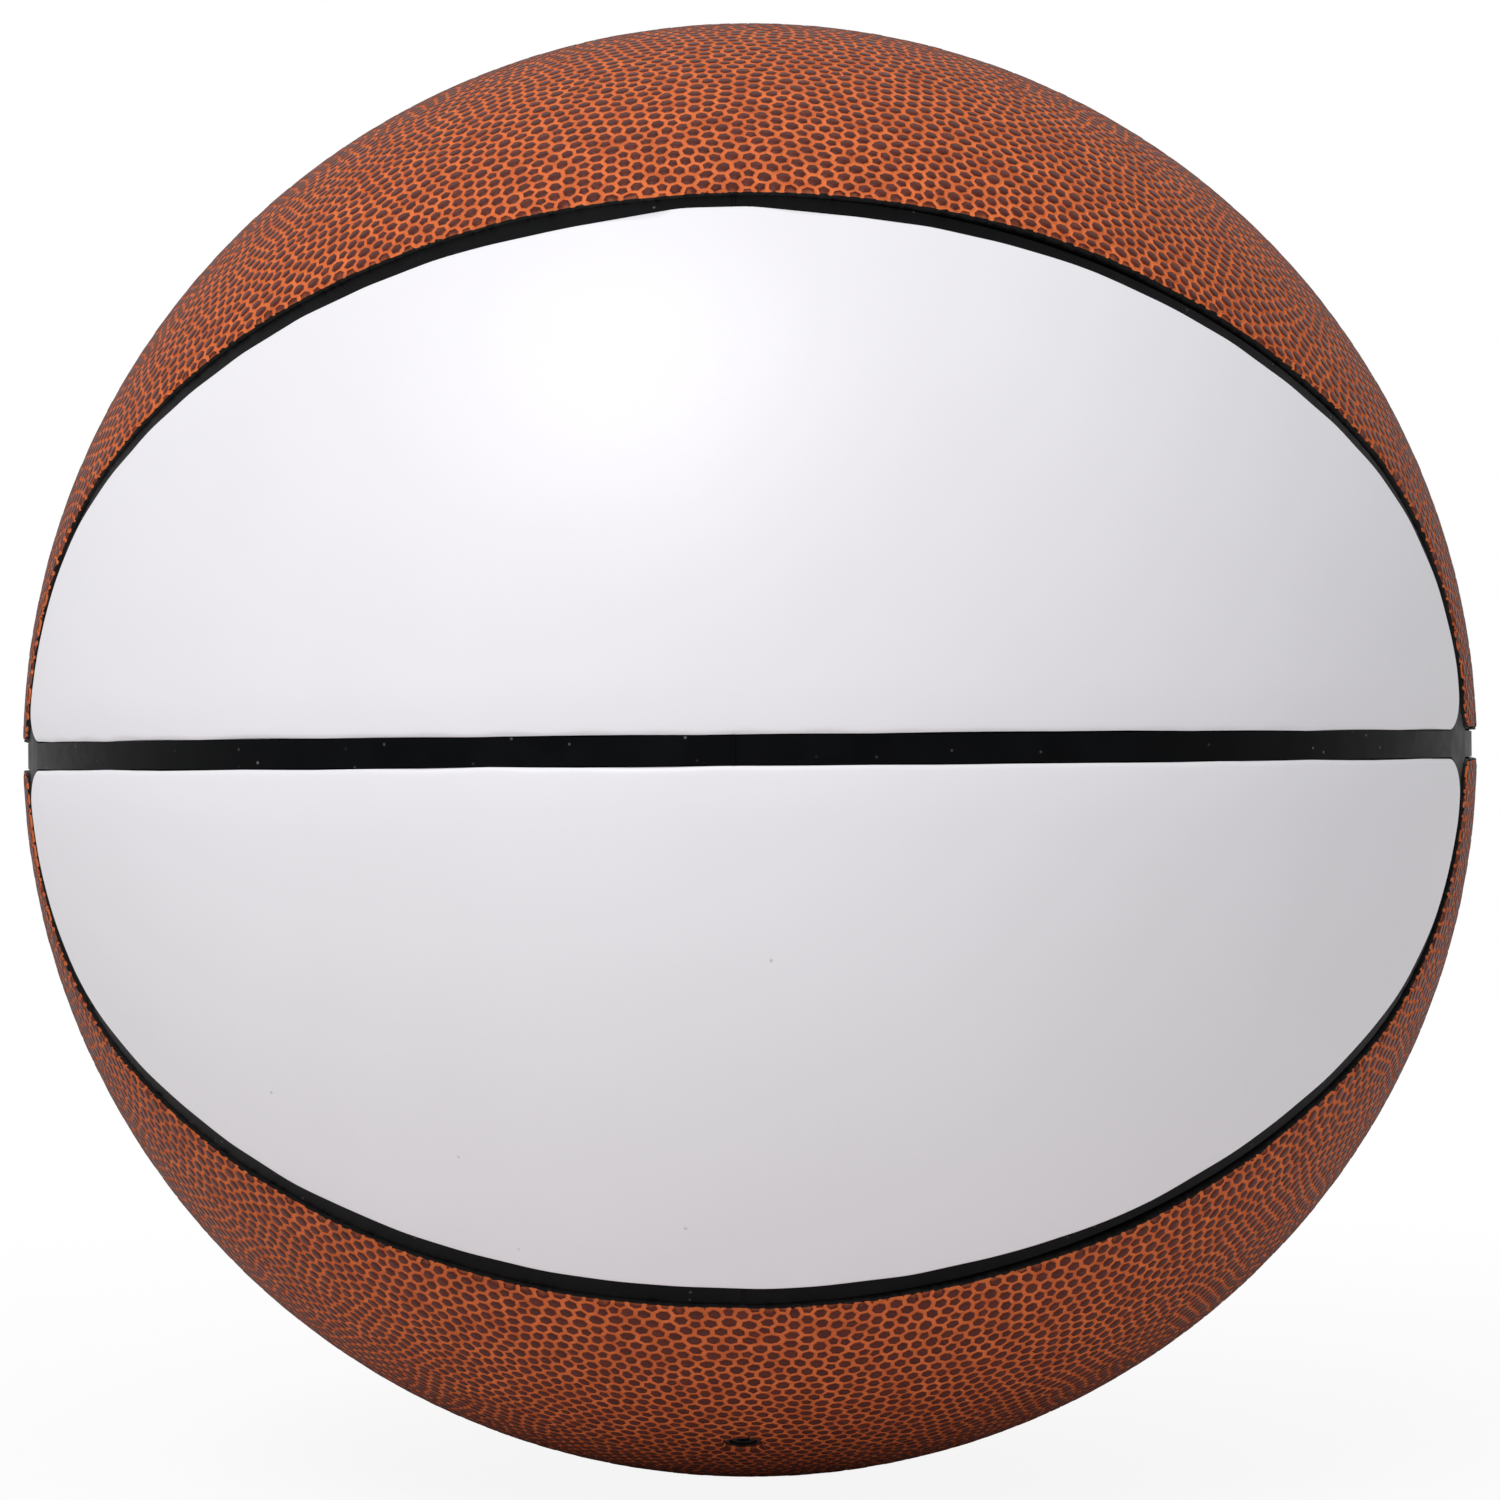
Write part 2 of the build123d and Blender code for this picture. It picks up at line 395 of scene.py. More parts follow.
def borderLines(faces):
    # closed lines round a group of faces
    follow = dict(openEdges(faces))
    lines = []
    while follow:
        corner = min(follow)
        line = []
        while corner in follow:
            line.append(corner)
            corner = follow.pop(corner)
        if len(line) > 2:
            lines.append(line)
    return lines


def panelLoops(name):
    points = nodePoints(name)
    glued = np.abs(np.linalg.norm(points, axis=1) - innerRadius) < ball["gluedWithin"]
    keys = [tuple(point) for point in np.round(points, 6)]  # a node's mesh is loose triangles
    faces = [list(face.vertices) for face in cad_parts[name].data.polygons]
    under = [[keys[corner] for corner in face] for face in faces if glued[face].all()]
    loops = [unit(np.array(line)) for line in borderLines(under)]
    return sorted(loops, key=lambda loop: -len(loop))


def smoothLoop(points, step):
    # even steps along a smooth closed line through the points
    line = []
    count = len(points)
    for index in range(count):
        p0, p1, p2, p3 = (points[(index + shift) % count] for shift in (-1, 0, 1, 2))
        d01, d12, d23 = (math.sqrt(np.linalg.norm(b - a)) for a, b in ((p0, p1), (p1, p2), (p2, p3)))
        m1 = ((p1 - p0) / d01 - (p2 - p0) / (d01 + d12) + (p2 - p1) / d12) * d12
        m2 = ((p2 - p1) / d12 - (p3 - p1) / (d12 + d23) + (p3 - p2) / d23) * d12
        pieces = max(1, round(np.linalg.norm(p2 - p1) * ballRadius / step))
        for t in np.arange(pieces) / pieces:
            line.append((2 * t**3 - 3 * t**2 + 1) * p1 + (t**3 - 2 * t**2 + t) * m1
                        + (3 * t**2 - 2 * t**3) * p2 + (t**3 - t**2) * m2)
    return unit(np.array(line))


def sideways(loop):
    # unit directions across a line on the sphere, to its left
    along = np.roll(loop, -1, 0) - np.roll(loop, 1, 0)
    return unit(np.cross(loop, along))


def wavyLoop(loop, amount, seed):
    # the small unevenness of a hand-laid panel edge
    draw = random.Random(seed)
    steps = np.linalg.norm(np.roll(loop, -1, 0) - loop, axis=1)
    place = np.cumsum(steps) / steps.sum() * 2 * math.pi
    wave = np.zeros(len(loop))
    for turns in range(*ball["waves"]):
        wave += draw.gauss(0, 1) * np.sin(turns * place + draw.uniform(0, 2 * math.pi))
    wave *= amount / ballRadius / np.abs(wave).max()
    return unit(loop + sideways(loop) * wave[:, None])


def panelBasis(loop):
    centre = unit(loop.mean(axis=0))
    along = unit(np.array((1.0, 0.0, 0.0)) - centre * centre[0])
    return np.array((along, np.cross(centre, along), centre))


def toPlane(basis, directions):
    local = directions @ basis.T
    return 2 * local[:, :2] / (1 + local[:, 2:])


def fromPlane(basis, flat):
    share = (flat**2).sum(axis=1, keepdims=True) / 4
    return (np.hstack((flat, 1 - share)) / (1 + share)) @ basis


def leftHanded(basis, loop):
    # turned so that what the line encloses lies on its left
    flat = toPlane(basis, loop)
    ahead = np.roll(flat, -1, 0)
    area = (flat[:, 0] * ahead[:, 1] - flat[:, 1] * ahead[:, 0]).sum()
    return loop if area > 0 else loop[::-1]


seam = {  # the hand-laid front oval wanders: a place along x, and how far out it runs there
    "upper": ((-0.085, -0.0008), (-0.055, -0.0008), (-0.010, -0.0006),
              (0.031, 0.0005), (0.055, 0.0012), (0.085, 0.0008)),
    "lower": ((-0.080, -0.0006), (-0.045, -0.0005), (-0.010, -0.0004),
              (0.030, 0.0005), (0.062, 0.0012), (0.085, 0.0007)),
    "fade": 0.006,
}


def clearOfCorners(loop):
    # 1 on the oval at the front, 0 near the straight seams
    fromSeams = np.minimum(np.abs(loop[:, 2]), -loop[:, 1]) * ballRadius
    return np.clip(fromSeams / seam["fade"] - 1, 0, 1)


def seamDrift(loop):
    upper, lower = (np.interp(loop[:, 0] * ballRadius, *zip(*seam[half])) for half in ("upper", "lower"))
    return np.where(loop[:, 2] > 0, upper, lower) * clearOfCorners(loop)


def shifted(loop, amounts):
    # moved to the line's left, by one amount or one for each point
    amounts = np.broadcast_to(amounts, len(loop))
    return unit(loop + sideways(loop) * (amounts / ballRadius)[:, None])


def outlineOf(name, waviness, seed, side):
    loops = [smoothLoop(loop, ball["outlineStep"]) for loop in panelLoops(name)]
    basis = panelBasis(loops[0])
    loops = [leftHanded(basis, loop) for loop in loops]
    loops[0] = wavyLoop(loops[0], waviness, seed)
    loops[0] = shifted(loops[0], side * seamDrift(loops[0]))
    return basis, loops


def insideLoop(flat, outline):
    ahead = np.roll(outline, -1, 0)
    inside = np.zeros(len(flat), dtype=bool)
    for (x0, y0), (x1, y1) in zip(outline, ahead):
        crosses = (y0 > flat[:, 1]) != (y1 > flat[:, 1])
        if y0 != y1:
            inside ^= crosses & (flat[:, 0] < (x1 - x0) * (flat[:, 1] - y0) / (y1 - y0) + x0)
    return inside


def nearestGap(directions, loop, blockSize=2000):
    gaps = np.empty(len(directions))
    for first in range(0, len(directions), blockSize):
        block = directions[first:first + blockSize]
        gaps[first:first + blockSize] = np.arccos(np.clip((block @ loop.T).max(axis=1), -1, 1))
    return gaps * ballRadius


# A map for each panel: its outside in two halves, one above the other, and its glued side small over them
panelMap = {
    "margin": 0.012,
    "wallWidth": 0.004,
    "wallFrom": 0.7,  # share of the depth past which a wall is spread outwards
    "straddle": 0.03,  # room for faces that lie across the middle
    "gluedHeight": 0.05,
    "gluedMargin": 0.004,
}


def addPanelMap(mesh, basis):
    corners = np.empty(len(mesh.loops), dtype=np.int32)
    mesh.loops.foreach_get("vertex_index", corners)
    points = np.empty(len(mesh.vertices) * 3)
    mesh.vertices.foreach_get("co", points)
    points = points.reshape(-1, 3)
    sizes = np.empty(len(mesh.polygons), dtype=np.int32)
    mesh.polygons.foreach_get("loop_total", sizes)
    part = np.empty(len(mesh.polygons), dtype=np.int32)
    mesh.attributes["part"].data.foreach_get("value", part)
    local = unit(points) @ basis.T
    angle = np.arccos(np.clip(local[:, 2], -1, 1))
    flat = unit(local[:, :2] + tiny) * angle[:, None]  # as far from the middle as along the ball
    depth = ballRadius - np.linalg.norm(points, axis=1)
    low, high = flat.min(axis=0), flat.max(axis=0)
    faceOf = np.repeat(np.arange(len(sizes)), sizes)
    starts = np.concatenate(([0], np.cumsum(sizes)[:-1]))
    uv = flat[corners]
    middle = np.add.reduceat(uv, starts, axis=0) / sizes[:, None]
    partOf = part[faceOf]
    wall = partOf == 1
    outward = unit(uv - np.array((0.0, (low[1] + high[1]) / 2)))
    deep = wall & (depth[corners] > (ballRadius - innerRadius) * panelMap["wallFrom"])
    uv[deep] += outward[deep] * panelMap["wallWidth"]
    right = (middle[:, 0] >= 0)[faceOf]  # the half below, the left one above it
    margin, gluedMargin = panelMap["margin"], panelMap["gluedMargin"]
    half = (1 - panelMap["gluedHeight"]) / 2
    reach = panelMap["straddle"]
    spread = max(-low[0], high[0]) + 4 * panelMap["wallWidth"]
    tall = high[1] - low[1] + 4 * panelMap["wallWidth"]
    run = (np.where(right, uv[:, 0], -uv[:, 0]) + reach) / (spread + reach)
    rise = (uv[:, 1] - low[1] + 2 * panelMap["wallWidth"]) / tall
    result = np.empty((len(corners), 2))
    result[:, 0] = margin + run * (1 - 2 * margin)
    result[:, 1] = np.where(right, 0.0, half) + margin + rise * (half - 2 * margin)
    under = partOf == 2  # the glued side, in a low band at the top
    run, rise = ((uv[under] - low) / (high - low)).T
    result[under, 0] = margin + run * (1 - 2 * margin)
    result[under, 1] = 2 * half + gluedMargin + rise * (1 - 2 * half - 2 * gluedMargin)
    layer = mesh.uv_layers.new(name="OFBake")
    layer.data.foreach_set("uv", result.astype(np.float32).ravel())


# Pebbled panels
pebbled = {  # a seed for each
    "upper_front_strip": 21,
    "lower_front_strip": 22,
    "upper_rear_strip": 23,
    "lower_rear_strip": 24,
    "rear_upper_panel": 25,
    "rear_lower_panel": 26,
}
pebble = {
    "closest": 0.00172,  # nearest two pebble centres come, before they settle
    "density": 2.0e6,  # more than fit, to the square metre
    "globeLevel": 6,
    "seed": 7,
    "settle": 12,  # rounds in which the centres even out
    "overshoot": 1.7,
    "beyond": 6,  # pebbles laid out past the panel's edge
    "facing": -0.15,  # how far round the ball a panel may reach
    "cutReach": 0.0021,  # cells this near the outline are cut by it
    "cutWithin": 1e-8,  # points of the cut this near each other are one
    "height": 0.00034,
    "lowest": 0.78,  # share of the height that every pebble has
    "spread": 0.22,  # share that differs from pebble to pebble
    "valleyShare": 0.87,  # foot of a pebble in its cell
    "crownShare": 0.78,  # flat top on its foot
    "bevel": 0.0004,  # width of the skived edge, black with cement
    "mouthSlope": 0.00012,  # the same round the valve, where it stays orange
    "rimLift": 0.3,  # what a cut pebble keeps of its height and its dark top where the bevel starts
    "rimPaint": 0.75,
    "rimWidth": 0.0009,  # the edge rolls down within this width
    "rimDrop": 0.00036,
    "setback": 0.0001,  # of the cut edge from the rib
    "waviness": 0.00018,
    "weld": 0.000002,
}


def makeSitesTree():
    tree, given = newTree("pebbleSites", (
        ("Radius", "Float"), ("Level", "Int"), ("Closest", "Float"), ("Density", "Float"), ("Seed", "Int"),
        ("Material", "Material")))
    inputs = {"Radius": given["Radius"], "Subdivisions": given["Level"]}
    globe = addNode(tree, "GeometryNodeMeshIcoSphere", inputs).outputs["Mesh"]
    inputs = {"Mesh": globe, "Distance Min": given["Closest"], "Density Max": given["Density"],
              "Seed": given["Seed"]}
    scatter = addNode(tree, "GeometryNodeDistributePointsOnFaces", inputs, distribute_method="POISSON")
    dots = addNode(tree, "GeometryNodePointsToVertices", {"Points": scatter.outputs["Points"]})
    endTree(tree, dots.outputs[0], given["Material"])
    return tree


def scatterSites():
    holder = newObject("pebbleSites", bpy.data.meshes.new("pebbleSites"))
    mesh = runTree(holder, makeSitesTree(), {
        "Radius": ballRadius, "Level": pebble["globeLevel"], "Closest": pebble["closest"],
        "Density": pebble["density"], "Seed": pebble["seed"], "Material": pebbledCover})
    sites = np.empty(len(mesh.vertices) * 3)
    mesh.vertices.foreach_get("co", sites)
    bpy.data.meshes.remove(mesh)
    dropObject(holder)
    return unit(sites.reshape(-1, 3))


def triangulated(flat):
    # triangles of the sites, turned one way, and which sites have neighbours all round
    joined = delaunay_2d_cdt([Vector(p) for p in flat], [], [], 0, ball["sameWithin"], False)
    triangles = np.array(joined[2])
    a, b, c = (flat[triangles[:, k]] for k in range(3))
    areas = ((b - a)[:, 0] * (c - a)[:, 1] - (b - a)[:, 1] * (c - a)[:, 0]) / 2
    triangles[areas < 0] = triangles[areas < 0][:, ::-1]
    starts, stops = triangles.ravel(), np.roll(triangles, -1, 1).ravel()
    single = ~np.isin(stops * len(flat) + starts, starts * len(flat) + stops)
    inner = np.zeros(len(flat), dtype=bool)
    inner[starts] = True
    inner[starts[single]] = inner[stops[single]] = False
    return triangles, np.abs(areas), inner


def settledSites(flat):
    # each site moves past the middle of the patch nearest to it, so that the pebbles come out alike in size
    longest = pebble["closest"] / 2 / ballRadius
    for _ in range(pebble["settle"]):
        triangles, areas, inner = triangulated(flat)
        a, b, c = (flat[triangles[:, k]] for k in range(3))
        ab, ac = b - a, c - a
        rise = ac[:, ::-1] * (ab**2).sum(axis=1)[:, None] - ab[:, ::-1] * (ac**2).sum(axis=1)[:, None]
        meeting = a + rise * (1, -1) / (4 * areas)[:, None]  # as far from all three sites
        middle, weight = np.zeros(flat.shape), np.zeros(len(flat))
        for k in range(3):
            site = flat[triangles[:, k]]
            for turn, sign in ((1, 1), (2, -1)):
                halfway = (site + flat[triangles[:, (k + turn) % 3]]) / 2 - site
                spoke = meeting - site
                area = sign * (halfway[:, 0] * spoke[:, 1] - halfway[:, 1] * spoke[:, 0]) / 2
                np.add.at(middle, triangles[:, k], (site + (halfway + spoke) / 3) * area[:, None])
                np.add.at(weight, triangles[:, k], area)
        move = (middle[inner] / weight[inner, None] - flat[inner]) * pebble["overshoot"]
        length = np.linalg.norm(move, axis=1)[:, None]
        flat[inner] += move * np.minimum(1, longest / np.maximum(length, tiny))
    return flat


def cellsAround(flat):
    # corner points and cells of the sites that have neighbours all round
    triangles, _, inner = triangulated(flat)
    corners = flat[triangles].mean(axis=1)
    around = [[] for _ in flat]
    for index, triangle in enumerate(triangles.tolist()):
        for site in triangle:
            around[site].append(index)
    cells = {}
    for site in np.nonzero(inner)[0]:
        spokes = corners[around[site]] - flat[site]
        order = np.argsort(np.arctan2(spokes[:, 1], spokes[:, 0]))
        cells[site] = [around[site][k] for k in order]
    return corners, cells


def pebbleLift(flat, cell, centre):
    # 1 on the flat top of a cell's pebble, 0 in its valley, sloping between
    spokes = flat - centre
    reach = np.full(len(flat), np.inf)
    for a, b in zip(cell, np.roll(cell, -1, 0)):
        side = np.array((b[1] - a[1], a[0] - b[0]))
        facing = spokes @ side
        with np.errstate(divide="ignore"):
            reach = np.where(facing > 0, np.minimum(reach, ((a - centre) @ side) / facing), reach)
    foot, top = pebble["valleyShare"], pebble["valleyShare"] * pebble["crownShare"]
    return np.clip((foot - 1 / reach) / (foot - top), 0, 1)


def addFace(points, faces, ring):
    faces.append(list(range(len(points), len(points) + len(ring))))
    points.extend(Vector(p) for p in ring)


def cornersOf(faces):
    return sorted({corner for face in faces for corner in face})


def cutCells(basis, loops, sites, draw):
    # a panel's cells: whole ones, and along the outline the pebbles cut off by it
    outlines = [toPlane(basis, loop) for loop in loops]
    margin = pebble["beyond"] * pebble["closest"] / ballRadius
    flat = toPlane(basis, sites[sites @ basis[2] > pebble["facing"]])
    low, high = outlines[0].min(axis=0) - margin, outlines[0].max(axis=0) + margin
    flat = settledSites(flat[((flat > low) & (flat < high)).all(axis=1)])
    corners, cells = cellsAround(flat)
    cellSites = np.array(list(cells))
    gaps = nearestGap(fromPlane(basis, flat[cellSites]), np.vstack(loops))
    wanted = insideLoop(flat[cellSites], outlines[0]) | (gaps < 2 * pebble["cutReach"])
    cellSites, gaps = cellSites[wanted], gaps[wanted]
    points = [Vector(p) for p in corners]
    faces = [cells[site] for site in cellSites]
    rims = [index for index, gap in enumerate(gaps) if gap < pebble["cutReach"]]
    centres = {}
    for index in rims:  # the foot and the flat top of each pebble that may be cut
        ring = corners[faces[index]]
        centres[index] = ring.mean(axis=0)
        for share in (pebble["valleyShare"], pebble["valleyShare"] * pebble["crownShare"]):
            addFace(points, faces, centres[index] + (ring - centres[index]) * share)
    flushId, panelId = len(faces), len(faces) + 1
    flush = toPlane(basis, shifted(loops[0], pebble["bevel"]))
    for outline in (flush, *outlines):  # the panel inside its bevel, the panel, its hole
        addFace(points, faces, outline)
    slopes = []  # the line round a hole where the cut pebbles begin to slope down
    for loop in loops[1:]:
        inset = toPlane(basis, shifted(loop, -pebble["mouthSlope"]))
        slopes.extend((len(points) + k, len(points) + (k + 1) % len(inset)) for k in range(len(inset)))
        points.extend(Vector(p) for p in inset)
    cut = delaunay_2d_cdt(points, slopes, faces, 2, pebble["cutWithin"], True)
    groups = {}  # triangles of each cell inside the panel
    for triangle, ids in zip(cut[2], cut[5]):
        if panelId in ids and max(ids) == panelId and min(ids) < len(cellSites):
            groups.setdefault(min(ids), {})[tuple(triangle)] = 0 if flushId in ids else 1
    places = np.array([tuple(point) for point in cut[0]])
    lift = np.zeros(len(places))
    kept, tone, ready, part = [], [], [], []
    for index, triangles in groups.items():
        whole = index not in centres
        made = borderLines(triangles) if whole else list(triangles)
        shade = draw.random()
        kept.extend(made)
        tone.extend([shade] * len(made))
        ready.extend([not whole] * len(made))
        part.extend([0] * len(made) if whole else triangles.values())
        if not whole:
            used = cornersOf(triangles)
            raised = pebbleLift(places[used], corners[faces[index]], centres[index])
            lift[used] = np.maximum(lift[used], raised)
    rim = [corner for corner, _ in openEdges(kept)]
    onTop = cornersOf(face for face, side in zip(kept, part) if side == 0)
    onBevel = cornersOf(face for face, side in zip(kept, part) if side == 1)
    bevelStart = sorted({*onTop} & {*onBevel})
    paint = lift.copy()
    paint[sorted({*bevelStart, *rim})] *= pebble["rimPaint"]
    lift[bevelStart] *= pebble["rimLift"]
    lift[rim] = 0.0  # down to the valley along the outline
    used = cornersOf(kept)
    renumber = {corner: number for number, corner in enumerate(used)}
    valley = fromPlane(basis, places[used]) * (ballRadius - pebble["height"])
    mesh = meshFrom("cells", valley, [[renumber[corner] for corner in face] for face in kept])
    fields = (
        ("lift", "FLOAT", "POINT", lift[used]),
        ("paint", "FLOAT", "POINT", paint[used]),
        ("tone", "FLOAT", "FACE", tone),
        ("ready", "BOOLEAN", "FACE", ready),
        ("part", "INT", "FACE", part),
    )
    for label, kind, domain, values in fields:
        mesh.attributes.new(label, kind, domain).data.foreach_set("value", values)
    return mesh


def makePebbleTree():
    tree, given = newTree("pebbleSkin", (
        ("Outline", "Object"), ("Inner Radius", "Float"), ("Height", "Float"), ("Lowest", "Float"),
        ("Spread", "Float"), ("Valley Share", "Float"), ("Crown Share", "Float"), ("Rim Width", "Float"),
        ("Rim Drop", "Float"), ("Weld", "Float"), ("Material", "Material")))
    where = addNode(tree, "GeometryNodeInputPosition").outputs[0]
    outward = vectorNode(tree, "NORMALIZE", {0: where})

    def outBy(length):
        return vectorNode(tree, "SCALE", {0: outward, "Scale": length})

    def extrude(mesh, chosen, length, **settings):
        inputs = {"Mesh": mesh, "Selection": chosen, "Offset Scale": length}
        return addNode(tree, "GeometryNodeExtrudeMesh", inputs, **settings).outputs

    def scaleFaces(mesh, chosen, share):
        inputs = {"Geometry": mesh, "Selection": chosen, "Scale": share}
        return addNode(tree, "GeometryNodeScaleElements", inputs, domain="FACE").outputs[0]

    cells = given["Geometry"]
    ready = namedField(tree, "ready", "BOOLEAN")
    whole = addNode(tree, "FunctionNodeBooleanMath", {0: ready}, operation="NOT").outputs[0]
    tone = namedField(tree, "tone", "FLOAT")
    share = mathNode(tree, "MULTIPLY_ADD", tone, given["Spread"], given["Lowest"])
    foot = extrude(cells, whole, 0.0)
    skin = scaleFaces(foot["Mesh"], foot["Top"], given["Valley Share"])
    crown = extrude(skin, foot["Top"], mathNode(tree, "MULTIPLY", given["Height"], share))
    skin = scaleFaces(crown["Mesh"], crown["Top"], given["Crown Share"])
    lift = mathNode(tree, "MULTIPLY", namedField(tree, "lift", "FLOAT"), given["Height"])
    skin = movePoints(tree, skin, Offset=outBy(lift))  # cut pebbles
    skin = storeField(tree, skin, "crown", namedField(tree, "paint", "FLOAT"), "FLOAT", "POINT")
    skin = storeField(tree, skin, "crown", 1.0, "FLOAT", "POINT", crown["Top"])
    edgeLine = addNode(tree, "GeometryNodeObjectInfo", {"Object": given["Outline"]}).outputs["Geometry"]
    toEdge = addNode(tree, "GeometryNodeProximity", {"Geometry": edgeLine}, target_element="EDGES")
    gap = mathNode(tree, "DIVIDE", toEdge.outputs["Distance"], given["Rim Width"])
    near = mathNode(tree, "SUBTRACT", 1.0, gap, clamp=True)
    drop = mathNode(tree, "MULTIPLY", mathNode(tree, "MULTIPLY", near, near), given["Rim Drop"])
    skin = movePoints(tree, skin, Offset=outBy(mathNode(tree, "MULTIPLY", drop, -1.0)))  # rolled rim
    beside = addNode(tree, "GeometryNodeInputMeshEdgeNeighbors").outputs[0]
    single = addNode(tree, "FunctionNodeCompare", {2: beside, 3: 1}, data_type="INT", operation="EQUAL")
    wall = extrude(skin, single.outputs[0], 0.0, mode="EDGES")
    glued = outBy(given["Inner Radius"])
    skin = movePoints(tree, wall["Mesh"], Selection=wall["Top"], Position=glued)
    skin = storeField(tree, skin, "crown", 0.0, "FLOAT", "POINT", wall["Top"])
    skin = storeField(tree, skin, "part", 1, "INT", "FACE", wall["Side"])
    back = addNode(tree, "GeometryNodeFlipFaces", {"Mesh": cells}).outputs[0]
    back = storeField(tree, movePoints(tree, back, Position=glued), "part", 2, "INT", "FACE")
    both = addNode(tree, "GeometryNodeJoinGeometry", {"Geometry": skin})
    tree.links.new(back, both.inputs[0])
    inputs = {"Geometry": both.outputs[0], "Distance": given["Weld"]}
    closed = addNode(tree, "GeometryNodeMergeByDistance", inputs).outputs[0]
    shaded = addNode(tree, "GeometryNodeSetShadeSmooth", {"Geometry": closed}).outputs[0]
    endTree(tree, shaded, given["Material"])
    return tree


def lineObject(name, loops, radius):
    points, edges = [], []
    for loop in loops:
        first = len(points)
        points.extend((loop * radius).tolist())
        edges.extend((first + k, first + (k + 1) % len(loop)) for k in range(len(loop)))
    mesh = bpy.data.meshes.new(name)
    mesh.from_pydata(points, edges, [])
    return newObject(name, mesh)


def triangleCount(mesh):
    return sum(len(face.vertices) - 2 for face in mesh.polygons)


sites = scatterSites()
print("pebble sites:", len(sites))
pebbleTree = makePebbleTree()
for node, seed in pebbled.items():
    basis, loops = outlineOf(node, pebble["waviness"], seed, 1)
    loops[0] = shifted(loops[0], pebble["setback"])
    cells = newObject("cells", cutCells(basis, loops, sites, random.Random(seed)))
    outline = lineObject("outline", loops, ballRadius - pebble["height"])
    mesh = runTree(cells, pebbleTree, {
        "Outline": outline, "Inner Radius": innerRadius, "Height": pebble["height"],
        "Lowest": pebble["lowest"], "Spread": pebble["spread"],
        "Valley Share": pebble["valleyShare"], "Crown Share": pebble["crownShare"],
        "Rim Width": pebble["rimWidth"], "Rim Drop": pebble["rimDrop"],
        "Weld": pebble["weld"], "Material": pebbledCover})
    dropObject(cells)
    dropObject(outline)
    addPanelMap(mesh, basis)
    panel = newObject("pebbled_" + node, mesh)
    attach(panel, ball["body"])
    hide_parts(node)
    print("pebbled panel", node, triangleCount(mesh), "triangles")


# Smooth white panels
smoothPanels = {  # a seed for each
    "front_upper_panel": 31,
    "front_lower_panel": 32,
}
smooth = {
    "waviness": 0.00022,
    "rings": (0.0001, 0.0002, 0.0004, 0.0007, 0.0013),  # lines inside the edge
    "spacing": 0.0030,
    "rowShare": 0.866,  # of the spacing, between rows of points
    "fieldGap": 0.6,  # of the spacing, from the last line to the field of points
    "rollWidth": 0.0006,  # of the rolled edge
    "rollDrop": 0.00022,
    "shoulderWidth": 0.0073,  # beside the straight edge only
    "shoulderDrop": 0.0006,
    "straightInset": 0.00011,  # of the cut edge from the solid's
    "curvedOutset": 0.00022,
    "step": {  # from x to x the cut edge stands out by an amount
        "front_upper_panel": (-0.0083, 0.007, 0.0014),
        "front_lower_panel": (0.050, 0.066, 0.00020),
    },
    "stepLength": 0.0025,  # within which it starts
    "stepEnd": 4,  # times as long, within which it ends
}


def cutEdge(loop, node):
    start, stop, amount = smooth["step"][node]
    place = loop[:, 0] * ballRadius
    rise = np.clip((place - start) / smooth["stepLength"] + 0.5, 0, 1)
    fall = np.clip((stop - place) / (smooth["stepEnd"] * smooth["stepLength"]) + 0.5, 0, 1)
    stands = np.minimum(rise, fall)
    curved = clearOfCorners(loop)
    out = smooth["curvedOutset"] + amount * stands * stands * (3 - 2 * stands)
    return shifted(loop, smooth["straightInset"] * (1 - curved) - out * curved)


